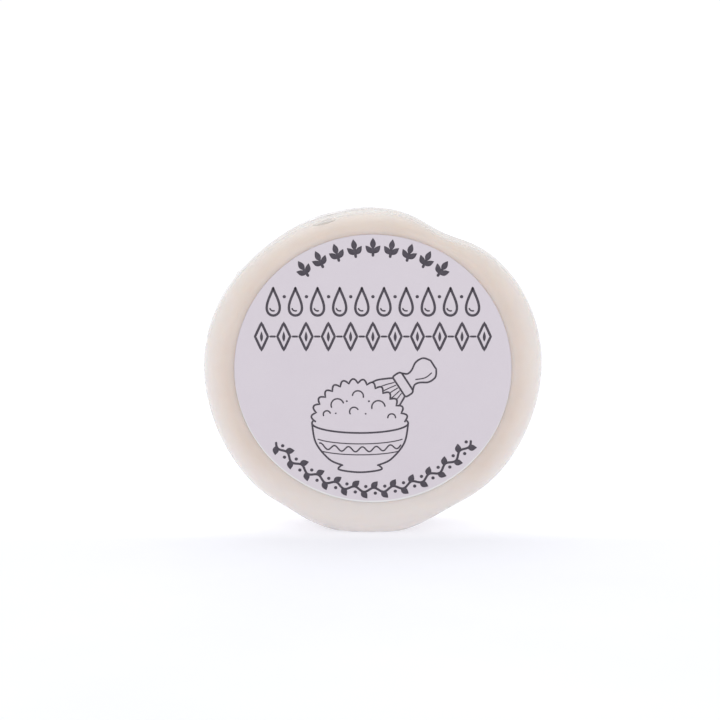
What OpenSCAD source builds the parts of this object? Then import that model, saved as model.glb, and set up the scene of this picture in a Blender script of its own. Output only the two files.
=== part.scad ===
// A round cake of shaving soap in a clear shrink film, with a paper label on each face.
// It stands on a small flat on its rim, with the front label facing -Y.
// The origin is under the middle of the cake, on the surface that it stands on.

/* [Cake] */
// Width of the soap cake's base outline, side to side
cake_w = 60.4; // [60:0.1:62.5]
// Height of the soap cake, standing flat to top
cake_h = 58.4; // [58:0.1:60]
// Thickness of the soap cake between its two faces
cake_t = 20.8; // [18:0.1:24]
// Roundness exponent of the outline: 2 is an ellipse, less is more pointed at the sides
outline_power = 1.95; // [1.9:0.01:2.1]
// How far the base outline would reach below the standing flat
stand_cut = 1.0; // [0.2:0.1:1.2]

/* [Rim] */
// How far back from each face the rounding of the rim starts
rim_depth = 6.5; // [4:0.1:8]
// Roundness exponent of the rim: 2 is a circular arc, more is squarer
rim_power = 2.2; // [2:0.05:2.6]
// Height of the slight bulge round the middle of the rim
rim_bulge = 0.15; // [0:0.05:0.3]

/* [Hand marks] */
// Depth of the pressed flat at the upper right of the rim
dent_depth = 1.5; // [0:0.05:1.6]
// Where the pressed flat is, in degrees from the right, over the top
dent_at = 62.5; // [50:0.5:75]
// Half width of the pressed flat, in degrees
dent_spread = 12; // [10:0.5:18]
// Height of the shoulder that the pressed soap makes beside the flat
shoulder_rise = 1.45; // [0:0.05:1.8]
// Where the shoulder is, in degrees
shoulder_at = 23; // [15:1:35]
// Half width of the shoulder, in degrees
shoulder_spread = 32; // [18:1:36]

/* [Label panels] */
// Width of the labels
label_w = 50; // [46:0.5:50]
// Height of the labels, which are slightly oval
label_h = 48.7; // [46:0.1:50]
// How far the panels and labels sit above the middle of the cake
label_up = 1.05; // [0:0.05:1.2]
// How far the panels and labels sit to the right of the middle of the cake
label_right = 0.25; // [0:0.05:0.4]
// Depth of the panel that is pressed into each face
panel_depth = 0.25; // [0.25:0.05:0.6]
// Clear gap between a label's edge and the start of the panel's slope
panel_gap = 0.1; // [0.1:0.05:0.2]
// Width of the slope from the panel up to its lip
panel_slope = 0.5; // [0.3:0.05:0.5]
// Width of the flat lip round the panel
lip_w = 0.25; // [0.2:0.05:0.3]

/* [Film and labels] */
// Thickness of the film shell
film_t = 0.1; // [0.08:0.01:0.2]
// Height of the film's heat seal where it stands proudest
seal_h = 0.5; // [0.2:0.05:0.6]
// Height of the film's heat seal along the rest of its length
seal_low = 0.08; // [0.05:0.01:0.2]
// Thickness of the paper labels
label_t = 0.1; // [0.08:0.01:0.2]

/* [Hidden] */

around = 72;       // points round the outline
rim_steps = 8;     // steps in each rounded corner of the rim
label_sides = 144; // sides of the labels' outline
film_gap = 0.02;   // air between the soap and the film, so that the two never cross
film_off = film_gap + film_t;

// Height of the outline's own middle, which the standing flat cuts off centre
cake_mid = (cake_h + stand_cut) / 2 - stand_cut + film_off;
// Height of the middle of the panels and labels
panel_mid = cake_h / 2 + film_off + label_up;
// How much less the panels and labels reach up and down than to the sides
label_squash = (label_w - label_h) / 2;

// The slope up from a panel to its lip: share of its width, share of the panel's depth
slope_steps = [[0, 1], [0.25, 0.85], [0.75, 0.15], [1, 0]];

// Extra loops across the middle band of the rim, as shares of its half width
front_loop = -0.5;
back_loop = 0.75;

// Smaller swells and hollows of the outline: height, place and half width in degrees
swells = [[0.7, 161, 23], [-0.5, 238, 9], [-0.95, 299, 14.5], [-0.2, 101, 10]];

// The heat seal runs over the top of the rim, just behind its middle, from one angle to another.
seal_place = 0.3; // share of the way from the rim's middle to where its rounding starts
seal_half_w = 0.35;
seal_peak_at = 104;
seal_peak_spread = 20;
seal_from = -25;
seal_to = 205;
seal_fade = 12;

// Signed distance from one angle to another, in degrees
function turn(a, b) = (a - b + 540) % 360 - 180;

// A smooth hump of height h at angle at, with half width spread
function hump(a, h, at, spread) = h * exp(-pow(turn(a, at) / spread, 2));

// Sum of a list of numbers
function sum(v, i = 0) = i < len(v) ? v[i] + sum(v, i + 1) : 0;

// Distance from the cake's middle to the middle of the rim, at angle a
function outline(a) =
    pow(pow(abs(cos(a)) / (cake_w / 2), outline_power)
        + pow(abs(sin(a)) / ((cake_h + stand_cut) / 2), outline_power), -1 / outline_power)
    - hump(a, dent_depth, dent_at, dent_spread)
    + hump(a, shoulder_rise, shoulder_at, shoulder_spread)
    + sum([for (s = swells) hump(a, s[0], s[1], s[2])]);

// The swells make the cake reach a little further to one side, so it moves over to centre it.
reach = [for (k = [0 : around - 1]) let (a = 360 * k / around) outline(a) * cos(a)];
cake_x = -(max(reach) + min(reach)) / 2;
panel_x = cake_x + label_right;

// 0 outside the arc from seal_from to seal_to, 1 inside it, with smooth ends
function seal_share(a) =
    let (inside = (seal_to - seal_from) / 2 - abs(turn(a, (seal_from + seal_to) / 2)),
         s = max(0, min(1, inside / seal_fade)))
    s * s * (3 - 2 * s);

// Height of the heat seal at angle a
function seal(a) =
    seal_share(a) * (seal_low + hump(a, seal_h - seal_low, seal_peak_at, seal_peak_spread));

// A station is one loop round the cake: [half width on the panel, share of the way from there
// to the outline, y, share of the heat seal's height, extra height].
function station_point(s, a, off) =
    let (on_panel = [panel_x + s[0] * cos(a), panel_mid + (s[0] - label_squash) * sin(a)],
         r = outline(a) + off + s[3] * seal(a) + s[4],
         on_rim = [cake_x + r * cos(a), cake_mid + r * sin(a)],
         p = (1 - s[1]) * on_panel + s[1] * on_rim)
    [p[0], s[2], p[1]];

// Half of the loops, from the panel out to the rim, for a skin that lies off outside the soap
function face_stations(off) =
    let (y = cake_t / 2 + off, floor_r = label_w / 2 + panel_gap, lip_r = floor_r + panel_slope)
    concat(
        [for (s = slope_steps)
            [floor_r + panel_slope * s[0], 0, panel_depth * s[1] - y, 0, 0]],
        [for (i = [0 : rim_steps])
            let (f = 90 * i / rim_steps)
            [lip_r + lip_w, pow(sin(f), 2 / rim_power),
             rim_depth * (1 - pow(cos(f), 2 / rim_power)) - y, 0, 0]]);

// The same loops on the back face, from the rim in to the panel
function mirrored(stations) =
    [for (i = [len(stations) - 1 : -1 : 0])
        let (s = stations[i]) [s[0], s[1], -s[2], s[3], s[4]]];

// Loops across the middle of the rim, with the heat seal's ridge when sealed is 1
function middle_stations(sealed) =
    let (half = cake_t / 2 - rim_depth, seal_y = seal_place * half)
    [for (m = [[half * front_loop, 0], [seal_y - seal_half_w, 0], [seal_y, sealed],
               [seal_y + seal_half_w, 0], [half * back_loop, 0]])
        [0, 1, m[0], m[1], rim_bulge * (1 - pow(m[0] / half, 2))]];

// A closed skin that lies off outside the soap, before its standing flat is cut
module skin(off, sealed) {
    face = face_stations(off);
    stations = concat(face, middle_stations(sealed), mirrored(face));
    rows = len(stations);
    points = [for (s = stations) for (k = [0 : around - 1])
        station_point(s, 360 * k / around, off)];
    walls = [for (i = [0 : rows - 2]) for (k = [0 : around - 1])
        let (a = i * around + k, b = i * around + (k + 1) % around, c = a + around, d = b + around)
        each [[a, b, d], [a, d, c]]];
    front = [for (k = [around - 1 : -1 : 0]) k];
    back = [for (k = [0 : around - 1]) (rows - 1) * around + k];
    polyhedron(points = points, faces = concat(walls, [front], [back]));
}

// The skin with everything below z = flat_z cut away, so that it stands on a true plane
module standing_skin(off, flat_z, sealed) {
    difference() {
        skin(off, sealed);
        translate([-cake_w, -cake_t, flat_z - cake_h])
            cube([2 * cake_w, 2 * cake_t, cake_h]);
    }
}

// A label with its outer face towards -Y, lying on the film of the front panel
module label() {
    translate([panel_x, panel_depth - cake_t / 2 - film_off, panel_mid])
        rotate([90, 0, 0])
            linear_extrude(label_t)
                polygon([for (k = [0 : label_sides - 1])
                    let (a = 360 * k / label_sides) [label_w / 2 * cos(a), label_h / 2 * sin(a)]]);
}

// The moulded cake of soap, with a shallow panel pressed into each face
module soap_cake() {
    color("ivory") standing_skin(0, film_off, 0);
}

// The clear film that shrinks tight round the soap, with its heat seal over the top of the rim
module shrink_film() {
    color("whitesmoke", 0.3) difference() {
        standing_skin(film_off, 0, 1);
        standing_skin(film_gap, film_t, 0);
    }
}

// The printed paper label on the front of the film
module front_label() {
    color("lavender") label();
}

// The paper label on the back of the film
module back_label() {
    color("white") mirror([0, 1, 0]) label();
}

soap_cake();
shrink_film();
front_label();
back_label();
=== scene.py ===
"""Looks for the shaving soap puck: ivory soap in clear shrink film, with a printed paper label.

Shapes are worked out in millimetres and become metres when a mesh is made. X is to the right,
Y goes away from the viewer of the front label, Z is up.
"""

import math

import bmesh
import bpy
import numpy as np
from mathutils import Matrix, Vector


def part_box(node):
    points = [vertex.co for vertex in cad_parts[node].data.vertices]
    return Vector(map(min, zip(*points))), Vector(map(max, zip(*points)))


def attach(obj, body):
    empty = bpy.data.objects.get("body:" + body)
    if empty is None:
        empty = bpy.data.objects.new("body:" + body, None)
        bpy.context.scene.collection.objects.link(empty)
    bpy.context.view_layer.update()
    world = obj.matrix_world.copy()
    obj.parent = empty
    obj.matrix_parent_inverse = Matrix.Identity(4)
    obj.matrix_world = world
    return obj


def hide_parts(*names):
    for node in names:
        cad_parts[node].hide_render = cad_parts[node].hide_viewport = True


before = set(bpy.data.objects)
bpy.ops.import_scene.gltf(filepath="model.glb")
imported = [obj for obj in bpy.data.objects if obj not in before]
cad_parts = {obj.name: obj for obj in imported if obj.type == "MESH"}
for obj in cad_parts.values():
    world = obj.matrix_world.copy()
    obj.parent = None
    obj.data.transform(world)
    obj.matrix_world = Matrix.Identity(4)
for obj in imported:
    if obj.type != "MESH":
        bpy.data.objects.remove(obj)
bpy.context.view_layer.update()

MM = 0.001


# ---------------------------------------------------------------- sizes, from the frame

def node_box(name):
    """Lowest and highest corner of a CAD node, in millimetres."""
    low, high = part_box(name)
    return np.array(low) / MM, np.array(high) / MM


soap_low, soap_high = node_box("soap_cake")
film_low, film_high = node_box("shrink_film")
front_low, front_high = node_box("front_label")
_, back_high = node_box("back_label")

LABEL_R = (front_high[0] - front_low[0]) / 2        # half width of the label
LABEL_X = (front_high[0] + front_low[0]) / 2
LABEL_Z = (front_high[2] + front_low[2]) / 2
LABEL_T = front_high[1] - front_low[1]
# The labels and panels are slightly oval: this is how much less they reach up and down.
SQUASH = LABEL_R - (front_high[2] - front_low[2]) / 2
HALF_T = soap_high[1]                       # half of the soap's thickness
FILM_OFF = film_high[1] - soap_high[1]      # how far the film's outside lies off the soap
PANEL_DEPTH = HALF_T + FILM_OFF + front_high[1]
STAND_Z = soap_low[2]                       # the soap's own standing flat

# The outline's formula repeats the CAD's driving dimensions.
BASE_W, BASE_H = 60.4, 58.4
STAND_CUT = 1.0
OUTLINE_POWER = 1.95
HUMPS = (
    # height, angle in degrees from the right over the top, half width in degrees
    (-1.5, 62.5, 12),   # the pressed flat
    (1.45, 23, 32),     # the shoulder beside it
    (0.7, 161, 23),
    (-0.5, 238, 9),
    (-0.95, 299, 14.5),
    (-0.2, 101, 10),
)
RIM_DEPTH, RIM_POWER, RIM_BULGE = 6.5, 2.2, 0.15
PANEL_GAP, PANEL_SLOPE, LIP_W = 0.1, 0.5, 0.25
CAKE_MID = (BASE_H + STAND_CUT) / 2 - STAND_CUT + STAND_Z
LIP_R = LABEL_R + PANEL_GAP + PANEL_SLOPE
# The panel's slope starts just under the label's edge, so the edge lies against it.
FLOOR_R = LABEL_R - 0.27


# ---------------------------------------------------------------- camera

CAMERA_ELEVATION = math.radians(7)
CAMERA_DISTANCE = 450.0
VIEW_WIDTH = 132.8                          # what the frame spans at the puck
# The camera looks a little to the left of the puck's middle, and a little above it.
AIM = (-2.35, 0.0, (film_high[2] + film_low[2]) / 2 + 1.26)


def add_camera():
    data = bpy.data.cameras.new("camera")
    data.sensor_width = 36
    data.lens = data.sensor_width * CAMERA_DISTANCE / VIEW_WIDTH
    data.clip_start = 0.01
    camera = bpy.data.objects.new("camera", data)
    x, y, z = AIM
    camera.location = (
        x * MM,
        (y - CAMERA_DISTANCE * math.cos(CAMERA_ELEVATION)) * MM,
        (z + CAMERA_DISTANCE * math.sin(CAMERA_ELEVATION)) * MM,
    )
    camera.rotation_euler = (math.radians(90) - CAMERA_ELEVATION, 0, 0)
    bpy.context.scene.collection.objects.link(camera)
    bpy.context.scene.camera = camera


add_camera()


# ---------------------------------------------------------------- helpers

def turn(a, b):
    """Signed distance from angle b to angle a, in degrees."""
    return (a - b + 540) % 360 - 180


def hump(a, height, at, spread):
    """A smooth hump at angle at, with half width spread, in degrees."""
    return height * np.exp(-((turn(a, at) / spread) ** 2))


def smooth(x):
    """0 below 0, 1 above 1, and a smooth rise between."""
    x = np.clip(x, 0, 1)
    return x * x * (3 - 2 * x)


def half_height(half_width):
    """Half height of a panel's oval, or of a smaller one inside it, from its half width."""
    return half_width - SQUASH * np.minimum(half_width / LABEL_R, 1)


def panel_distance(points):
    """Distance from the label's middle, measured so that it is LABEL_R along the label's edge."""
    across, up = points[..., 0] - LABEL_X, points[..., 2] - LABEL_Z
    return np.hypot(across, up * LABEL_R / half_height(LABEL_R))


def waves(points, wavelength, seed):
    """Smooth seeded noise of roughly -1 to 1 at each point, from plane waves in many directions."""
    count = 14
    rng = np.random.default_rng(seed)
    axes = rng.normal(size=(count, 3))
    axes /= np.linalg.norm(axes, axis=1)[:, None]
    pace = 2 * math.pi / wavelength * rng.uniform(0.7, 1.4, count)
    phase = rng.uniform(0, 2 * math.pi, count)
    return np.sin(points @ (axes * pace[:, None]).T + phase).sum(-1) / math.sqrt(2 * count) / 1.5


def face_outwards(mesh):
    """Turns the faces of closed shapes so that they all face outwards."""
    work = bmesh.new()
    work.from_mesh(mesh)
    bmesh.ops.recalc_face_normals(work, faces=work.faces)
    work.to_mesh(mesh)
    work.free()


def new_mesh(name, points, faces, materials, face_materials=None, flat=False):
    """A mesh object from points in millimetres: closed shapes, or a flat sheet."""
    mesh = bpy.data.meshes.new(name)
    mesh.from_pydata((np.asarray(points) * MM).tolist(), [], faces)
    mesh.validate()
    for m in materials:
        mesh.materials.append(m)
    if face_materials is not None:
        mesh.polygons.foreach_set("material_index", face_materials)
    if not flat:
        face_outwards(mesh)
    mesh.polygons.foreach_set("use_smooth", [not flat] * len(mesh.polygons))
    mesh.update()
    obj = bpy.data.objects.new(name, mesh)
    bpy.context.scene.collection.objects.link(obj)
    return obj


def closed_skin(grid):
    """Points and faces of a closed skin: quads between the grid's loops of points, and a fan over
    the first loop and the last."""
    rows, around = grid.shape[:2]
    points = grid.reshape(-1, 3)
    faces = []
    for i in range(rows - 1):
        for k in range(around):
            a = i * around + k
            b = i * around + (k + 1) % around
            faces.append((a, b, b + around, a + around))
    first_middle, last_middle = len(points), len(points) + 1
    points = np.vstack([points, grid[0].mean(0), grid[-1].mean(0)])
    last = (rows - 1) * around
    for k in range(around):
        faces.append((first_middle, (k + 1) % around, k))
        faces.append((last_middle, last + k, last + (k + 1) % around))
    return points, faces


def strip(loops):
    """A closed strip whose cross section runs through the loops' points in order."""
    sides, count = len(loops), len(loops[0])
    points = np.stack(loops, 1).reshape(-1, 3)
    faces = []
    for i in range(count - 1):
        for k in range(sides):
            p, q = i * sides + k, i * sides + (k + 1) % sides
            faces.append((p, p + sides, q + sides, q))
    faces.append(tuple(range(sides)))
    faces.append(tuple(range(len(points) - 1, len(points) - sides - 1, -1)))
    return points, faces


class Builder:
    """Collects the points and faces of several closed shapes into one mesh."""

    def __init__(self):
        self.points, self.faces, self.slots = [], [], []

    def add(self, points, faces, slot=0):
        """Adds a shape whose faces use one of the mesh's material slots."""
        first = len(self.points)
        self.points.extend(np.asarray(points).tolist())
        self.faces.extend(tuple(first + i for i in f) for f in faces)
        self.slots.extend([slot] * len(faces))

    def make(self, name, materials):
        return new_mesh(name, self.points, self.faces, materials, self.slots)


# ---------------------------------------------------------------- materials

def new_material(name):
    """A material with its node tree and its Principled shader."""
    material = bpy.data.materials.new(name)
    material.use_nodes = True
    tree = material.node_tree
    shader = next(n for n in tree.nodes if n.type == "BSDF_PRINCIPLED")
    return material, tree, shader


def node(tree, kind, **inputs):
    """A new node with values for some of its inputs, whose names have _ for a space."""
    made = tree.nodes.new(kind)
    for key, value in inputs.items():
        made.inputs[key.replace("_", " ")].default_value = value
    return made


def object_space(tree, scale=(1, 1, 1)):
    """Coordinates in the row frame, in millimetres, stretched by scale."""
    place = tree.nodes.new("ShaderNodeTexCoord")
    mapping = tree.nodes.new("ShaderNodeMapping")
    mapping.inputs["Scale"].default_value = [s / MM for s in scale]
    tree.links.new(place.outputs["Object"], mapping.inputs["Vector"])
    return mapping.outputs["Vector"]


def noise_value(tree, vector, wavelength, detail, roughness, distortion=0.0):
    """Noise of about 0 to 1, with its coarsest features about a wavelength apart, in millimetres."""
    made = node(tree, "ShaderNodeTexNoise", Scale=1 / wavelength, Detail=detail,
                Roughness=roughness, Distortion=distortion)
    tree.links.new(vector, made.inputs["Vector"])
    return made.outputs["Fac"]


def remap(tree, value, low, high, to_low, to_high):
    """The value moved from the range low..high to to_low..to_high, and held inside it."""
    made = node(tree, "ShaderNodeMapRange", From_Min=low, From_Max=high,
                To_Min=to_low, To_Max=to_high)
    tree.links.new(value, made.inputs["Value"])
    return made.outputs["Result"]


def mix_colour(tree, share, first, second):
    """first where share is 0, second where it is 1; each is a colour or a socket."""
    made = tree.nodes.new("ShaderNodeMix")
    made.data_type = "RGBA"
    tree.links.new(share, made.inputs["Factor"])
    for socket, value in ((made.inputs[6], first), (made.inputs[7], second)):
        if isinstance(value, tuple):
            socket.default_value = (*value, 1)
        else:
            tree.links.new(value, socket)
    return made.outputs[2]


def label_distance(tree, shift_up=0.0):
    """Distance from the label's middle, moved up a little, in half widths of the label's oval."""
    ratio = LABEL_R / half_height(LABEL_R)
    flat = object_space(tree, (1, 0, ratio))
    made = tree.nodes.new("ShaderNodeVectorMath")
    made.operation = "DISTANCE"
    made.inputs[1].default_value = (LABEL_X, 0, (LABEL_Z + shift_up) * ratio)
    tree.links.new(flat, made.inputs[0])
    return made.outputs["Value"]


def bump(tree, height, distance_mm, under=None):
    """Fine relief whose height is worth distance_mm, on top of another bump's relief."""
    made = node(tree, "ShaderNodeBump", Strength=1.0, Distance=distance_mm * MM)
    tree.links.new(height, made.inputs["Height"])
    if under is not None:
        tree.links.new(under, made.inputs["Normal"])
    return made.outputs["Normal"]


# Where the rim's painted sheen comes in
RIM_PAINTED_SHEEN_FROM, RIM_PAINTED_SHEEN_TO = 26.5, 31.0     # millimetres from the label's middle
# Where the foot's paler paint comes in, partly painted light
FOOT_LIGHT_AND_SCUFF_FROM, FOOT_LIGHT_AND_SCUFF_TO = 13.0, 3.0    # millimetres above the floor


def soap_material():
    """Milled soap: ivory with soft mottling and pale milling streaks, satin and translucent."""
    material, tree, shader = new_material("milled_soap")
    space = object_space(tree)
    streaks = object_space(tree, (0.35, 1.0, 1.3))
    mottle = remap(tree, noise_value(tree, space, 9, 4, 0.55), 0.35, 0.68, 0, 1)
    colour = mix_colour(tree, mottle, (0.675, 0.570, 0.502), (0.705, 0.604, 0.540))
    streak = remap(tree, noise_value(tree, streaks, 5, 5, 0.6, 0.8), 0.52, 0.74, 0, 0.4)
    colour = mix_colour(tree, streak, colour, (0.735, 0.645, 0.585))
    fleck = remap(tree, noise_value(tree, space, 0.9, 2, 0.5), 0.70, 0.78, 0, 0.35)
    colour = mix_colour(tree, fleck, colour, (0.62, 0.51, 0.44))
    # Painted sheen: the rim is painted paler than the faces, for the film's reflection of the bright
    # tent.
    rim = remap(tree, label_distance(tree), RIM_PAINTED_SHEEN_FROM, RIM_PAINTED_SHEEN_TO, 0, 1)
    colour = mix_colour(tree, rim, colour, (0.79, 0.744, 0.712))
    # The foot is painted paler still: partly painted light, for the glow that the floor and the
    # translucent soap give it, and partly scuffed film.
    height = tree.nodes.new("ShaderNodeSeparateXYZ")
    tree.links.new(space, height.inputs[0])
    foot = remap(tree, height.outputs["Z"], FOOT_LIGHT_AND_SCUFF_FROM, FOOT_LIGHT_AND_SCUFF_TO, 0, 1)
    colour = mix_colour(tree, foot, colour, (0.75, 0.694, 0.664))
    tree.links.new(colour, shader.inputs["Base Color"])
    rough = remap(tree, noise_value(tree, space, 2.5, 4, 0.6), 0.3, 0.7, 0.40, 0.56)
    tree.links.new(rough, shader.inputs["Roughness"])
    dents = bump(tree, noise_value(tree, space, 2.2, 3, 0.5), 0.05)
    grain = bump(tree, noise_value(tree, space, 0.35, 3, 0.6), 0.012, dents)
    tree.links.new(grain, shader.inputs["Normal"])
    shader.inputs["Subsurface Weight"].default_value = 0.5
    shader.inputs["Subsurface Radius"].default_value = (1.0, 0.72, 0.5)
    shader.inputs["Subsurface Scale"].default_value = 7 * MM
    shader.inputs["Specular IOR Level"].default_value = 0.4
    return material


FILM_IOR = 1.22      # lower than solid plastic's, as film that clings to soap shines less
FILM_ROUGHNESS = 0.28


def film_material(name, haze, haze_colour):
    """Clear shrink film: seen through, with a thin haze and a gloss that grows at grazing angles."""
    material, tree, shader = new_material(name)
    tree.nodes.remove(shader)
    out = next(n for n in tree.nodes if n.type == "OUTPUT_MATERIAL")
    space = object_space(tree)
    gloss = node(tree, "ShaderNodeBsdfAnisotropic", Color=(0.88, 0.87, 0.86, 1))
    rough = remap(tree, noise_value(tree, space, 3, 3, 0.6), 0.3, 0.7,
                  FILM_ROUGHNESS * 0.75, FILM_ROUGHNESS * 1.3)
    tree.links.new(rough, gloss.inputs["Roughness"])
    crinkle = bump(tree, noise_value(tree, space, 1.6, 3, 0.5, 0.6), 0.005)
    tree.links.new(crinkle, gloss.inputs["Normal"])
    fresnel = tree.nodes.new("ShaderNodeFresnel")
    # The skin is far thinner than its mesh, so light that leaves it meets the same surface as
    # light that enters: the index is turned over on the inside.
    side = tree.nodes.new("ShaderNodeNewGeometry")
    index = remap(tree, side.outputs["Backfacing"], 0, 1, FILM_IOR, 1 / FILM_IOR)
    tree.links.new(index, fresnel.inputs["IOR"])
    clear = node(tree, "ShaderNodeBsdfTransparent", Color=(0.99, 0.99, 0.99, 1))
    milk = node(tree, "ShaderNodeBsdfDiffuse", Color=(*haze_colour, 1))
    hazed = tree.nodes.new("ShaderNodeMixShader")
    patches = remap(tree, noise_value(tree, space, 4, 4, 0.6), 0.3, 0.75, haze * 0.5, haze * 1.6)
    tree.links.new(patches, hazed.inputs["Fac"])
    tree.links.new(clear.outputs[0], hazed.inputs[1])
    tree.links.new(milk.outputs[0], hazed.inputs[2])
    film = tree.nodes.new("ShaderNodeMixShader")
    tree.links.new(fresnel.outputs[0], film.inputs["Fac"])
    tree.links.new(hazed.outputs[0], film.inputs[1])
    tree.links.new(gloss.outputs[0], film.inputs[2])
    tree.links.new(film.outputs[0], out.inputs["Surface"])
    return material


TINT_UP = 0.32       # how far up the label's tint is moved, in millimetres


def paper_material(name, colour, fibre_colour):
    """Coated label paper: fine fibres, faint mottling and a soft satin coat."""
    material, tree, shader = new_material(name)
    space = object_space(tree)
    fibres = object_space(tree, (1.0, 1.0, 4.5))
    cross = object_space(tree, (4.5, 1.0, 1.0))
    mottle = remap(tree, noise_value(tree, space, 7, 4, 0.6), 0.3, 0.7, 0, 0.5)
    base = mix_colour(tree, mottle, colour, fibre_colour)
    fibre = remap(tree, noise_value(tree, fibres, 0.5, 3, 0.6), 0.5, 0.75, 0, 0.45)
    base = mix_colour(tree, fibre, base, tuple(0.955 * c for c in colour))
    # The tint is moved up a little, so a thin paler sliver shows along the label's bottom edge.
    bottom_sliver = remap(tree, label_distance(tree, TINT_UP), LABEL_R - 0.05, LABEL_R + 0.05, 0, 1)
    base = mix_colour(tree, bottom_sliver, base, (0.74, 0.73, 0.725))
    tree.links.new(base, shader.inputs["Base Color"])
    rough = remap(tree, noise_value(tree, space, 1.2, 3, 0.5), 0.3, 0.7, 0.5, 0.66)
    tree.links.new(rough, shader.inputs["Roughness"])
    weave = bump(tree, noise_value(tree, fibres, 0.45, 3, 0.6), 0.010)
    weave = bump(tree, noise_value(tree, cross, 0.45, 3, 0.6), 0.008, weave)
    tree.links.new(weave, shader.inputs["Normal"])
    shader.inputs["Specular IOR Level"].default_value = 0.35
    return material


def ink_material():
    """Printing ink: warm near-black, slightly thin in places, satin."""
    material, tree, shader = new_material("printing_ink")
    space = object_space(tree)
    thin = remap(tree, noise_value(tree, space, 0.6, 3, 0.65), 0.45, 0.8, 0, 0.6)
    colour = mix_colour(tree, thin, (0.045, 0.036, 0.050), (0.095, 0.080, 0.105))
    tree.links.new(colour, shader.inputs["Base Color"])
    rough = remap(tree, noise_value(tree, space, 0.8, 2, 0.5), 0.3, 0.7, 0.42, 0.6)
    tree.links.new(rough, shader.inputs["Roughness"])
    grain = bump(tree, noise_value(tree, space, 0.2, 2, 0.5), 0.006)
    tree.links.new(grain, shader.inputs["Normal"])
    return material


SOAP = soap_material()
FILM = film_material("clear_film", 0.03, (0.93, 0.91, 0.90))
WELD = film_material("film_weld", 0.4, (0.88, 0.86, 0.85))
# The crease's film is tinted darker: painted shade for the thin shadow along the fold's lower edge.
CREASE_SHADED_FILM = film_material("film_crease_shade", 0.12, (0.80, 0.72, 0.66))
PAPER = paper_material("label_paper", (0.622, 0.568, 0.612), (0.643, 0.594, 0.631))
BACK_PAPER = paper_material("back_label_paper", (0.60, 0.585, 0.59), (0.635, 0.62, 0.62))
INK = ink_material()


# ---------------------------------------------------------------- the cake's surface

AROUND = 576            # points in each loop round the cake
FLOOR_LOOPS = 16        # loops on a panel
FLOOR_EDGE_LOOPS = 10   # more loops close to the panel's edge
SLOPE_LOOPS = 7         # loops up the panel's slope
RIM_LOOPS = 31          # loops over each rounded corner of the rim
MIDDLE_LOOPS = 14       # loops across the middle band of the rim
ROUND_OFF = 7           # how often the profile is smoothed


def outline(a):
    """Distance from the cake's middle to the middle of its rim, at angle a in degrees."""
    t = np.radians(a)
    half_h = (BASE_H + STAND_CUT) / 2
    r = (
        np.abs(np.cos(t) / (BASE_W / 2)) ** OUTLINE_POWER
        + np.abs(np.sin(t) / half_h) ** OUTLINE_POWER
    ) ** (-1 / OUTLINE_POWER)
    for height, at, spread in HUMPS:
        r = r + hump(a, height, at, spread)
    return r


angles = np.arange(AROUND) * 360 / AROUND
reach = outline(angles) * np.cos(np.radians(angles))
CAKE_X = -(reach.max() + reach.min()) / 2


def face_profile():
    """Loops from the panel's middle out to the start of the rim's middle band: radius on the
    panel, share of the way from there to the outline, distance in from the face."""
    inner = np.linspace(0.03, 0.92, FLOOR_LOOPS)
    outer = np.linspace(0.93, 1.0, FLOOR_EDGE_LOOPS)
    loops = [(r, 0.0, PANEL_DEPTH) for r in np.concatenate([inner, outer]) * FLOOR_R]
    for s in np.linspace(0, 1, SLOPE_LOOPS + 1)[1:]:
        loops.append((FLOOR_R + s * (LIP_R - FLOOR_R), 0.0, PANEL_DEPTH * (1 - smooth(s))))
    for f in np.radians(np.linspace(0, 90, RIM_LOOPS)):
        share = math.sin(f) ** (2 / RIM_POWER)
        loops.append((LIP_R + LIP_W, share, RIM_DEPTH * (1 - math.cos(f) ** (2 / RIM_POWER))))
    return loops


def cake_grid():
    """Points of the soap, one row for each loop from the front panel over the rim to the back."""
    t = np.radians(angles)
    direction = np.stack([np.cos(t), np.sin(t)], 1)
    rim = outline(angles)
    rows = []

    def loop(radius, share, y, extra=0.0):
        on_panel = np.array([LABEL_X, LABEL_Z]) + np.array([radius, half_height(radius)]) * direction
        on_rim = np.array([CAKE_X, CAKE_MID]) + (rim + extra)[:, None] * direction
        p = (1 - share) * on_panel + share * on_rim
        rows.append(np.stack([p[:, 0], np.full(AROUND, y), p[:, 1]], 1))

    profile = face_profile()
    half = HALF_T - RIM_DEPTH
    for radius, share, inward in profile:
        loop(radius, share, inward - HALF_T)
    for m in np.linspace(-1, 1, MIDDLE_LOOPS + 2)[1:-1]:
        loop(0, 1, m * half, RIM_BULGE * (1 - m * m))
    for radius, share, inward in profile[::-1]:
        loop(radius, share, HALF_T - inward)
    grid = np.array(rows)
    # Moulded soap has no sharp edges, so the profile is rounded off a little.
    for _ in range(ROUND_OFF):
        grid[1:-1] = grid[1:-1] / 2 + grid[:-2] / 4 + grid[2:] / 4
    return grid


def grid_normals(grid):
    """Outward normals of the grid's surface."""
    along = np.gradient(grid, axis=0)
    round_ = np.roll(grid, -1, axis=1) - np.roll(grid, 1, axis=1)
    n = np.cross(along, round_)
    n /= np.linalg.norm(n, axis=2)[..., None] + 1e-12
    return n


def rim_share(grid):
    """1 on the rim, 0 on the panels, where the labels need a true plane."""
    return smooth((panel_distance(grid) - LABEL_R) / 1.5)


def standing(points, floor_z):
    """The points, with none below the flat at floor_z that the cake stands on."""
    points[..., 2] = np.maximum(points[..., 2], floor_z)
    return points


LUMPS = (
    # height and wavelength in millimetres, seed
    (0.10, 14, 11),
    (0.012, 5, 12),
    (0.002, 2, 13),
)


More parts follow.
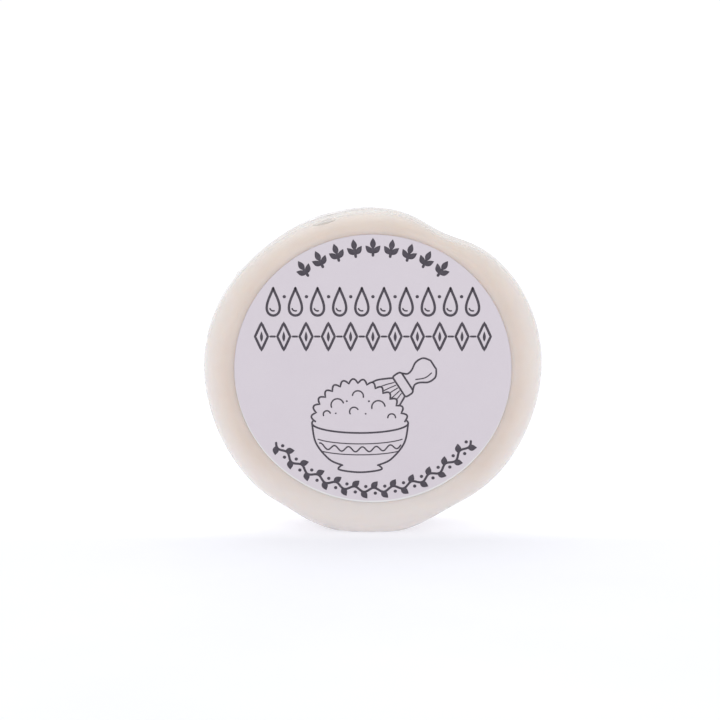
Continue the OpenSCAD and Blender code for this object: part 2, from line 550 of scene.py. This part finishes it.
def soap_grid():
    """Points and normals of the soap, with the slight lumps of hand work on its rim."""
    grid = cake_grid()
    normals = grid_normals(grid)
    lumps = sum(height * waves(grid, wavelength, seed) for height, wavelength, seed in LUMPS)
    grid = grid + normals * (lumps * rim_share(grid))[..., None]
    return grid, grid_normals(grid)


def make_soap(grid):
    points, faces = closed_skin(standing(grid.copy(), STAND_Z))
    soap = new_mesh("soap_cake_fine", points, faces, [SOAP])
    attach(soap, "root")
    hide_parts("soap_cake")


soap_points, soap_normals = soap_grid()
make_soap(soap_points)


# ---------------------------------------------------------------- the film

# The materials of the film's mesh, in the order of its slots
FILM_SLOT, WELD_SLOT, CREASE_SLOT = 0, 1, 2

# How far the film lies off the soap, as shares of FILM_OFF. It comes down to the soap under the
# label's edge, so that no shadow shows there.
PANEL_LIFT, RIM_LIFT = 0.95, 0.35
CHANGE_IN, CHANGE_W = 0.9, 0.8      # how far inside the label's edge that starts, and its width

PUCKERS = 110


def film_lift(grid):
    """How far the film stands off the soap: it clings, apart from small puckers across the rim."""
    rows = grid.shape[0]
    step = np.linalg.norm(np.diff(grid, axis=0), axis=2).mean(1)
    along = np.concatenate([[0], np.cumsum(step)])
    along -= along.mean()                    # millimetres over the rim, 0 at its middle
    rng = np.random.default_rng(21)
    outward = smooth((panel_distance(grid) - LABEL_R + CHANGE_IN) / CHANGE_W)
    lift = FILM_OFF * (PANEL_LIFT + (RIM_LIFT - PANEL_LIFT) * outward)
    radius = np.maximum(panel_distance(grid), 1.0)
    lip_at = np.interp(LIP_R, radius[: rows // 2, 0], along[: rows // 2])
    for _ in range(PUCKERS):
        at = rng.uniform(0, 360)
        side = rng.choice([-1, 1])
        middle = side * rng.uniform(2.0, abs(lip_at) - 0.5)
        length = rng.uniform(1.2, 3.6)
        width = rng.uniform(0.7, 1.5)
        slant = rng.uniform(-0.5, 0.5)
        height = rng.uniform(0.004, 0.014)
        over = along[:, None] - middle
        side_step = np.radians(turn(angles[None, :], at)) * radius - slant * over
        lift += height * np.exp(-((side_step / width) ** 2) - (over / length) ** 2)
    return lift


TOP = 90                # degrees
SEAL_REACH = 115        # how far the heat seal reaches down either side of the top, in degrees
SEAL_FADE = 12          # over how many degrees it dies out
SEAL_PLACE = 0.3        # share of the way back from the rim's middle to where its rounding starts
SEAL_LOW = 0.03
SEAL_PEAKS = (
    # height, angle in degrees, half width in degrees
    (0.42, 103, 16),
    (0.26, 143.5, 1.1),
)
SUNK = 0.03             # how far the seal's foot lies inside the film's skin


def seal_height(a):
    """How far the heat seal stands off the film at angle a."""
    ends = smooth((SEAL_REACH - np.abs(turn(a, TOP))) / SEAL_FADE)
    return ends * (SEAL_LOW + sum(hump(a, *peak) for peak in SEAL_PEAKS))


def sway(a, size, times, phase=0):
    """A wave with a number of swings in a full turn."""
    return size * np.sin(np.radians(times * a + phase))


def add_seal(build):
    """The trimmed heat seal: a thin wavering fin over the top of the rim."""
    a = np.arange(TOP - SEAL_REACH + 1, TOP + SEAL_REACH - 0.99, 0.5)
    t = np.radians(a)
    y = SEAL_PLACE * (HALF_T - RIM_DEPTH) + sway(a, 0.22, 5, 40) + sway(a, 0.06, 17)
    height = seal_height(a) * (1 + sway(a, 0.07, 13, 30) + sway(a, 0.04, 37))
    lean = (sway(a, 0.4, 4, 15) + sway(a, 0.2, 23)) * height
    foot = outline(a) + RIM_BULGE - SUNK
    half_w = 0.06 + sway(a, 0.015, 13)

    def edge(out, across):
        r = foot + out
        return np.stack([CAKE_X + r * np.cos(t), y + across, CAKE_MID + r * np.sin(t)], 1)

    top = 0.6 * FILM_OFF + height
    loops = [
        edge(0 * top, -1.6 * half_w),
        edge(0.55 * top, -half_w + 0.4 * lean),
        edge(0.93 * top, -0.8 * half_w + lean),
        edge(top, lean),
        edge(0.93 * top, 0.8 * half_w + lean),
        edge(0.55 * top, half_w + 0.4 * lean),
        edge(0 * top, 1.6 * half_w),
    ]
    build.add(*strip(loops), WELD_SLOT)


FOLD_AT, FOLD_REACH = 107.05, 4.25      # its middle and how far it reaches either way, in degrees
# Where the fold lies, as a share of the way from the lip to the outline: its chord, how much
# further in that is at its right end than in its middle, and how far it bulges to either side
FOLD_CHORD, FOLD_SLANT = 0.888, 0.018
FOLD_BELOW, FOLD_ABOVE = 0.093, 0.085
FOLD_LIFT = 0.04
CREASE_W, CREASE_LIFT = 0.016, 0.02     # half width as such a share, height over the fold


def add_fold(build, skin, normals):
    """A small pocket of film folded flat on the front of the rim, near the top, and the crease
    along its lower edge, darkened with painted shade."""
    shares = np.array([share for _, share, _ in face_profile()])
    s = np.linspace(-0.99, 0.99, 41)
    column = (FOLD_AT - FOLD_REACH * s) / 360 * AROUND
    bow = np.sqrt(1 - s ** 2)
    chord = FOLD_CHORD - FOLD_SLANT * s
    low, high = chord - FOLD_BELOW * bow, chord + FOLD_ABOVE * bow

    def on_film(share, off):
        rim_rows = np.arange(len(shares) - RIM_LOOPS, len(shares))
        row = np.interp(share, shares[-RIM_LOOPS:], rim_rows)
        r0, c0 = row.astype(int), column.astype(int)
        fr, fc = (row - r0)[:, None], (column - c0)[:, None]
        c1 = (c0 + 1) % AROUND

        def blend(field):
            return ((1 - fr) * ((1 - fc) * field[r0, c0] + fc * field[r0, c1])
                    + fr * ((1 - fc) * field[r0 + 1, c0] + fc * field[r0 + 1, c1]))
        return blend(skin) + blend(normals) * off[:, None]

    level = 0 * s
    under = level - 0.01                # just inside the film's skin
    lift = FOLD_LIFT * bow
    pocket = [
        on_film(low, under),
        on_film(low, lift),
        on_film(low + 0.25 * (high - low), 0.85 * lift),
        on_film(low + 0.6 * (high - low), 0.45 * lift),
        on_film(high, level),
        on_film(0.5 * (low + high), under),
    ]
    build.add(*strip(pocket), FILM_SLOT)
    width = CREASE_W * bow
    crease = [
        on_film(low - 1.2 * width, under),
        on_film(low - width, level + 0.03),
        on_film(low, lift + CREASE_LIFT),
        on_film(low + width, 0.95 * lift + CREASE_LIFT),
        on_film(low + 0.5 * width, under),
    ]
    build.add(*strip(crease), CREASE_SLOT)


def make_film(grid, normals):
    build = Builder()
    skin = standing(grid + normals * film_lift(grid)[..., None], 0.0)
    build.add(*closed_skin(skin), FILM_SLOT)
    add_seal(build)
    add_fold(build, skin, normals)
    film = build.make("shrink_film_skin", [FILM, WELD, CREASE_SHADED_FILM])
    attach(film, "root")
    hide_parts("shrink_film")


make_film(soap_points, soap_normals)


# ---------------------------------------------------------------- the labels

EDGE_ROLL, EDGE_ROLL_DEPTH = 0.35, 0.055    # over what width the edge is pressed down, and how far
SETTLED = 0.004     # the paper lies at least this far below its CAD face, so that it stays under the ink
RIPPLES = (
    # height and wavelength in millimetres, seed
    (0.012, 9, 31),
    (0.006, 3, 32),
)


def make_label(name, node_name, material, y_out, facing):
    """A paper disc with a die-cut edge, very slightly rippled where it lies on the film."""
    rings = np.concatenate([np.linspace(0.02, 0.97, 40), np.linspace(0.975, 1.0, 6)]) * LABEL_R
    t = np.radians(np.arange(0, 360, 1.0))
    across, up = np.outer(rings, np.cos(t)), np.outer(half_height(rings), np.sin(t))
    grid = np.stack([LABEL_X + across, np.full(across.shape, y_out), LABEL_Z + up], 2)
    ripple = sum(height * waves(grid, wavelength, seed) for height, wavelength, seed in RIPPLES)
    roll = np.clip((rings - (LABEL_R - EDGE_ROLL)) / EDGE_ROLL, 0, 1) ** 2
    grid[..., 1] -= facing * (np.abs(ripple) + SETTLED + EDGE_ROLL_DEPTH * roll[:, None])
    edge = grid[-1].copy()
    edge[:, 1] = y_out - facing * LABEL_T
    points, faces = closed_skin(np.concatenate([grid, edge[None]]))
    label = new_mesh(name, points, faces, [material])
    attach(label, "root")
    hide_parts(node_name)


make_label("front_label_paper", "front_label", PAPER, front_low[1], -1)
make_label("back_label_paper", "back_label", BACK_PAPER, back_high[1], 1)


# ---------------------------------------------------------------- the printing

INK_T = 0.02        # how far the ink stands off the paper
INK_STEP = 0.0015   # strokes that cross differ in height by this, so that none share a plane
INK_LEVELS = 8      # after so many steps the heights start again
CAP_STEPS = (30, 55, 75)    # degrees round the round end of a stroke


def curve(points, per_span=8):
    """A smooth curve through a few points."""
    p = np.array(points, float)
    last = len(p) - 1
    made = []
    for i in range(last):
        a, b, c, d = p[max(i - 1, 0)], p[i], p[i + 1], p[min(i + 2, last)]
        for s in np.arange(per_span) / per_span:
            made.append(0.5 * (2 * b + (c - a) * s + (2 * a - 5 * b + 4 * c - d) * s ** 2
                               + (3 * b - a - 3 * c + d) * s ** 3))
    made.append(p[-1])
    return np.array(made)


def ring(x, y, rx, ry=None, start=0, end=360, steps=28):
    """Part of an ellipse. A whole one closes on itself when it is inked."""
    t = np.radians(np.linspace(start, end, steps, endpoint=abs(end - start) < 360))
    return np.stack([x + rx * np.cos(t), y + (ry or rx) * np.sin(t)], 1)


def scallops(path, bumps, rise):
    """A bumpy line, like the edge of a head of lather, along a smooth path."""
    step = np.linalg.norm(np.diff(path, axis=0), axis=1)
    s = np.concatenate([[0], np.cumsum(step)]) / step.sum()
    fine = np.linspace(0, 1, bumps * 9 + 1)
    x, y = np.interp(fine, s, path[:, 0]), np.interp(fine, s, path[:, 1])
    dx, dy = np.gradient(x), np.gradient(y)
    size = np.hypot(dx, dy)
    lift = rise * np.abs(np.sin(math.pi * fine * bumps))
    return np.stack([x - dy / size * lift, y + dx / size * lift], 1)


def inside(points, shape):
    """Which points lie inside a closed outline."""
    x, y = points[:, 0], points[:, 1]
    hit = np.zeros(len(points), bool)
    for (x1, y1), (x2, y2) in zip(shape, np.roll(shape, -1, axis=0)):
        crosses = (y1 > y) != (y2 > y)
        with np.errstate(divide="ignore", invalid="ignore"):
            at = (x2 - x1) * (y - y1) / (y2 - y1) + x1
        hit ^= crosses & (x < at)
    return hit


def visible(path, shapes):
    """The stretches of a path that no shape in front of it hides."""
    hidden = np.zeros(len(path), bool)
    for shape in shapes:
        hidden |= inside(path, shape)
    runs, run = [], []
    for point, gone in zip(path, hidden):
        if gone:
            if len(run) > 1:
                runs.append(np.array(run))
            run = []
        else:
            run.append(point)
    if len(run) > 1:
        runs.append(np.array(run))
    return runs


class Print:
    """Ink lines and spots on one label, drawn in millimetres from the label's middle."""

    def __init__(self, y, facing):
        self.build = Builder()
        self.y = y
        self.facing = facing
        self.strokes = 0

    def to_label(self, flat, out):
        """Points on the label, out of its surface by so much, and mirrored on the back."""
        side = 1 if self.facing < 0 else -1
        y = self.y + self.facing * out
        return np.stack([LABEL_X + side * flat[:, 0], y, LABEL_Z + flat[:, 1]], 1)

    def ribbon(self, left, right, across, closed):
        """A low closed ridge of ink between two edges."""
        inset = np.minimum(0.25, 0.06 / np.maximum(across, 1e-6))[:, None]
        rails = [left, left + (right - left) * inset, right + (left - right) * inset, right]
        self.strokes += 1
        top = INK_T + INK_STEP * (self.strokes % INK_LEVELS)
        heights = [0, top, top, 0]
        n = len(left)
        points = np.concatenate([
            self.to_label(rail, np.full(n, h)) for rail, h in zip(rails, heights)])
        faces = []
        for k in range(4):
            a0, b0 = k * n, (k + 1) % 4 * n
            for i in range(n if closed else n - 1):
                j = (i + 1) % n
                faces.append((a0 + i, a0 + j, b0 + j, b0 + i))
        if not closed:
            faces += [(0, n, 2 * n, 3 * n), (4 * n - 1, 3 * n - 1, 2 * n - 1, n - 1)]
        self.build.add(points, faces)

    def line(self, path, width, closed=False):
        """A stroke of even width with round ends."""
        path = np.asarray(path, float)
        if closed:
            along = np.roll(path, -1, axis=0) - np.roll(path, 1, axis=0)
        else:
            along = np.gradient(path, axis=0)
        along /= np.hypot(along[:, 0], along[:, 1])[:, None] + 1e-12
        widths = np.full(len(path), width / 2)
        if not closed:
            caps = np.radians(CAP_STEPS)
            start = [path[0] - along[0] * width / 2 * math.sin(c) for c in caps[::-1]]
            end = [path[-1] + along[-1] * width / 2 * math.sin(c) for c in caps]
            shrink = np.cos(caps) * width / 2
            path = np.vstack([start, path, end])
            along = np.vstack([[along[0]] * len(caps), along, [along[-1]] * len(caps)])
            widths = np.concatenate([shrink[::-1], widths, shrink])
        side = np.stack([-along[:, 1], along[:, 0]], 1) * widths[:, None]
        self.ribbon(path + side, path - side, 2 * widths, closed)

    def spot(self, x, y, r):
        """A round spot: a stroke with next to no length."""
        self.line(np.array([[x - 0.01, y], [x, y], [x + 0.01, y]]), 2 * r)

    def leaf(self, base, tip, width):
        """A filled pointed leaf from base to tip."""
        s = np.linspace(0.02, 0.98, 9)[:, None]
        base, tip = np.array(base, float), np.array(tip, float)
        along = tip - base
        side = np.array([-along[1], along[0]]) / np.hypot(*along)
        half = width / 2 * np.sin(math.pi * s ** 0.85)
        middle = base + along * s
        self.ribbon(middle + side * half, middle - side * half, 2 * half[:, 0], False)


def on_arc(radius, angle, motif):
    """Turns a motif about the label's middle, so that it points outwards from a circle."""
    t = math.radians(angle)
    out = np.array([math.cos(t), math.sin(t)])
    along = np.array([out[1], -out[0]])
    return radius * out + motif[:, :1] * along + motif[:, 1:] * out


def print_sprigs(ink):
    """Over the top: nine leaf sprigs on an arc."""
    for angle in np.linspace(124.5, 55.5, 9):
        def placed(points):
            return on_arc(20.6, angle, np.array(points, float))

        ink.line(placed([[0, 0], [0, 0.9], [0, 1.7]]), 0.5)
        for side in (-1, 1):
            ink.leaf(*placed([[side * 0.12, 0.35], [side * 1.35, 1.75]]), 1.0)
        ink.leaf(*placed([[0, 1.15], [0, 3.15]]), 1.05)


def print_drops(ink):
    """First row: ten water drops, with a bead between each pair."""
    foot, height, half_w, span = 9.75, 5.0, 1.7, 19.1
    places = np.linspace(-span + half_w * 0.7, span - half_w * 0.7, 10)
    for i, x in enumerate(places):
        t = np.radians(np.linspace(0, 360, 40, endpoint=False))
        taper = np.sin(t / 2) ** 1.6
        drop = np.stack([x + half_w * np.sin(t) * taper,
                         foot + height / 2 + height / 2 * np.cos(t)], 1)
        ink.line(drop, 0.45, closed=True)
        ink.line(ring(x, foot + 1.45, 0.62, start=200, end=285, steps=7), 0.28)
        if i < len(places) - 1:
            ink.spot((x + places[i + 1]) / 2, foot + 3.4, 0.30)


def print_lozenges(ink):
    """Second row: eleven upright lozenges with a seed in each, joined by small links."""
    middle, half_h, half_w, span = 5.95, 2.5, 1.15, 21.2
    places = np.linspace(-span + half_w, span - half_w, 11)
    for i, x in enumerate(places):
        corners = [(x, middle + half_h), (x + half_w, middle),
                   (x, middle - half_h), (x - half_w, middle)]
        path = np.concatenate([
            np.linspace(corners[k], corners[(k + 1) % 4], 6, endpoint=False) for k in range(4)])
        ink.line(path, 0.45, closed=True)
        ink.leaf((x, middle - 0.95), (x, middle + 0.95), 0.55)
        if i < len(places) - 1:
            ink.line([(x + half_w + 0.45, middle), (x + half_w + 0.8, middle),
                      (places[i + 1] - half_w - 0.45, middle)], 0.36)


def print_vine(ink):
    """Round the bottom: a waving stem with a leaf on every bend and a berry opposite it."""
    first, last, bends = 217.5, 323.5, 23
    radius, sway = 22.05, 0.4

    def stem(a):
        r = radius + sway * np.sin(math.pi * bends * (a - first) / (last - first))
        t = np.radians(a)
        return np.stack([r * np.cos(t), r * np.sin(t)], -1)

    ink.line(stem(np.linspace(first, last, 240)), 0.42)
    pitch = (last - first) / bends
    for i in range(bends):
        bend = first + (i + 0.5) * pitch
        side = 1 if i % 2 == 0 else -1
        foot = stem(np.array([bend - 0.25 * pitch]))[0]
        out = np.array([math.cos(math.radians(bend)), math.sin(math.radians(bend))])
        along = np.array([-out[1], out[0]])
        ink.leaf(foot, foot + 1.15 * along + side * 1.3 * out, 1.15)
        berry = stem(np.array([bend + 0.15 * pitch]))[0] - side * 0.95 * out
        ink.spot(*berry, 0.3)


def print_picture(ink):
    """In the middle: a bowl of lather with a shaving brush resting in it."""
    shift = np.array([0.0, -8.2])
    fine, thick = 0.27, 0.33
    middle = -2.3

    rim = ring(middle, -1.6, 8.7, 1.8, steps=56)
    side = curve([(middle - 8.7, -1.6), (-10.3, -5.2), (-7.9, -8.2), (-5.5, -9.3)])
    other = np.stack([2 * middle - side[:, 0], side[:, 1]], 1)
    foot = curve([(-5.6, -9.25), (-6.1, -10.1), (middle, -10.6), (1.5, -10.1), (1.0, -9.25)])

    heap = curve([(-10.4, -1.3), (-9.9, 1.3), (-7.8, 3.8), (-4.6, 5.5), (-1.2, 5.4),
                  (2.0, 3.7), (4.5, 1.2), (5.8, -1.3)])
    foam = scallops(heap, 14, 0.8)
    foam_shape = np.vstack([foam, ring(middle, -1.5, 8.0, 1.6, start=0, end=-180, steps=20)])

    # The brush: half widths along its axis, from the lather up to the end of the handle
    lean = math.radians(33)
    axis = np.array([math.cos(lean), math.sin(lean)])
    across = np.array([-axis[1], axis[0]])
    root = np.array([0.6, 2.3])

    def turned(stations):
        left = curve([root + axis * d + across * w for d, w in stations])
        right = curve([root + axis * d - across * w for d, w in stations])
        return np.vstack([left, right[::-1]])

    hair = turned([(0, 3.3), (2.0, 3.3), (3.9, 2.5), (4.9, 1.95)])
    collar = turned([(4.9, 1.95), (5.2, 2.2), (6.3, 2.2), (6.7, 1.85)])
    handle = turned([(6.7, 1.85), (7.5, 1.2), (8.5, 1.35), (9.9, 2.15), (11.4, 2.05), (12.3, 0.95)])

    for shape in (collar, handle):
        ink.line(shape + shift, thick, closed=True)
    for run in visible(hair, [foam_shape, collar]):
        ink.line(run + shift, thick)
    for spread in (-0.7, -0.36, 0.0, 0.34, 0.68):
        bristle = curve([root + axis * 4.6 + across * 1.75 * spread,
                         root + axis * 3.0 + across * 2.5 * spread,
                         root + axis * 1.0 + across * 3.1 * spread], per_span=14)
        for run in visible(bristle, [foam_shape]):
            ink.line(run + shift, 0.2)
    ink.line(curve([root + axis * 8.2 - across * 0.5, root + axis * 9.8 - across * 1.15,
                    root + axis * 11.2 - across * 1.05]) + shift, 0.22)

    for run in visible(foam, [ring(middle, -1.75, 8.3, 1.2, steps=40)]):
        ink.line(run + shift, thick)
    for x, y, r, start, end in (
        (-6.4, 1.7, 1.15, 20, 200), (-2.7, 3.3, 1.0, -10, 170), (1.0, 1.3, 1.2, 10, 190),
        (-3.4, 0.5, 0.8, 30, 210), (-8.3, 0.0, 0.65, 20, 200), (3.4, -0.6, 0.7, 0, 180),
    ):
        ink.line(ring(x, y, r, start=start, end=end, steps=14) + shift, fine)
    for x, y, r in ((-4.7, 2.4, 0.17), (-0.7, 2.4, 0.17), (-1.3, 0.1, 0.15), (-6.7, 0.2, 0.15)):
        ink.spot(x + shift[0], y + shift[1], r)

    for run in visible(rim, [foam_shape]):
        ink.line(run + shift, thick)
    for path in (side, other, foot):
        ink.line(path + shift, thick)
    x = np.linspace(middle - 7.6, middle + 7.6, 110)
    sag = -4.9 - 1.5 * np.sqrt(np.clip(1 - ((x - middle) / 8.4) ** 2, 0, 1))
    ink.line(np.stack([x, sag + 0.45 * np.sin(x * 2.5)], 1)[2:-2] + shift, fine)
    ink.line(np.stack([x, sag + 1.0], 1) + shift, 0.2)
    ink.line(np.stack([x, sag - 1.0], 1)[6:-6] + shift, 0.2)


def make_front_print():
    ink = Print(front_low[1], -1)
    print_sprigs(ink)
    print_drops(ink)
    print_lozenges(ink)
    print_picture(ink)
    print_vine(ink)
    made = ink.build.make("front_label_print", [INK])
    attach(made, "root")


def print_wreath(ink):
    """Two leafy branches that rise from the bottom, one up each side."""
    radius, pitch, leaves = 14.2, 12.5, 12
    for side in (-1, 1):
        stem = ring(0, 0, radius, start=270 + side * 8, end=270 + side * 160, steps=90)
        ink.line(stem, 0.36)
        for i in range(leaves):
            t = math.radians(270 + side * (14 + pitch * i))
            out = np.array([math.cos(t), math.sin(t)])
            along = side * np.array([-out[1], out[0]])
            for across in (-1, 1):
                foot = (radius + 0.1 * across) * out
                ink.leaf(foot, foot + 2.3 * along + across * 1.9 * out, 1.15)


def make_back_print():
    """The back label carries a ring of beads and a wreath round one drop."""
    ink = Print(back_high[1], 1)
    for angle in np.arange(0, 360, 7.5):
        t = math.radians(angle)
        ink.spot(22 * math.cos(t), 22 * math.sin(t), 0.35)
    ink.line(ring(0, 0, 20.4, steps=160), 0.3, closed=True)
    print_wreath(ink)
    t = np.radians(np.linspace(0, 360, 60, endpoint=False))
    drop = np.stack([3.6 * np.sin(t) * np.sin(t / 2) ** 1.6, 7 * np.cos(t)], 1)
    ink.line(drop, 0.45, closed=True)
    ink.line(ring(0, -2.9, 1.9, start=200, end=290, steps=12), 0.35)
    made = ink.build.make("back_label_print", [INK])
    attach(made, "root")


make_front_print()
make_back_print()


# ---------------------------------------------------------------- stage and light

FRONT_GLOW, BACK_GLOW = 0.47, 0.69
GLOW_FROM, GLOW_TO = -18, 0      # where it changes, in millimetres from the puck's middle


def make_floor():
    material, tree, shader = new_material("studio_floor")
    space = object_space(tree)
    tone = remap(tree, noise_value(tree, space, 60, 3, 0.5), 0.3, 0.7, 0, 1)
    colour = mix_colour(tree, tone, (0.64, 0.645, 0.675), (0.66, 0.665, 0.695))
    tree.links.new(colour, shader.inputs["Base Color"])
    shader.inputs["Roughness"].default_value = 0.85
    shader.inputs["Specular IOR Level"].default_value = 0.1
    # The tent's floor is translucent and lit from below, less in front than under the puck.
    place = tree.nodes.new("ShaderNodeSeparateXYZ")
    tree.links.new(space, place.inputs[0])
    glow = remap(tree, place.outputs["Y"], GLOW_FROM, GLOW_TO, FRONT_GLOW, BACK_GLOW)
    glow.node.interpolation_type = "SMOOTHERSTEP"
    tree.links.new(colour, shader.inputs["Emission Color"])
    tree.links.new(glow, shader.inputs["Emission Strength"])
    half = 6000
    corners = [(-half, -half, 0), (half, -half, 0), (half, half, 0), (-half, half, 0)]
    floor = new_mesh("floor", corners, [(0, 1, 2, 3)], [material], flat=True)


def add_sun(name, strength, towards, spread):
    """A broad even light: the direction that it shines in, and how wide its source looks."""
    data = bpy.data.lights.new(name, "SUN")
    data.energy = strength
    data.angle = math.radians(spread)
    data.color = (1.0, 0.985, 0.965)
    light = bpy.data.objects.new(name, data)
    bpy.context.scene.collection.objects.link(light)
    light.rotation_euler = Vector(towards).to_track_quat("-Z", "Y").to_euler()


def make_world():
    world = bpy.data.worlds.new("studio")
    world.use_nodes = True
    tree = world.node_tree
    background = next(n for n in tree.nodes if n.type == "BACKGROUND")
    background.inputs["Color"].default_value = (0.975, 0.985, 1.0, 1)
    # The tent is a little dimmer overhead than at the horizon.
    place = tree.nodes.new("ShaderNodeTexCoord")
    height = tree.nodes.new("ShaderNodeSeparateXYZ")
    tree.links.new(place.outputs["Generated"], height.inputs[0])
    strength = remap(tree, height.outputs["Z"], 0.12, 0.85, 1.04, 0.84)
    tree.links.new(strength, background.inputs["Strength"])
    bpy.context.scene.world = world


make_floor()
make_world()
add_sun("back_light", 0.5, (0.1, -0.45, -0.89), 60)
add_sun("front_fill", 0.46, (0.08, 0.99, -0.1), 60)
add_sun("top_light", 0.1, (0.04, 0.7, -0.7), 60)
bpy.context.scene.view_settings.view_transform = "Standard"
bpy.context.scene.view_settings.look = "None"
bpy.context.scene.view_settings.exposure = 0.0
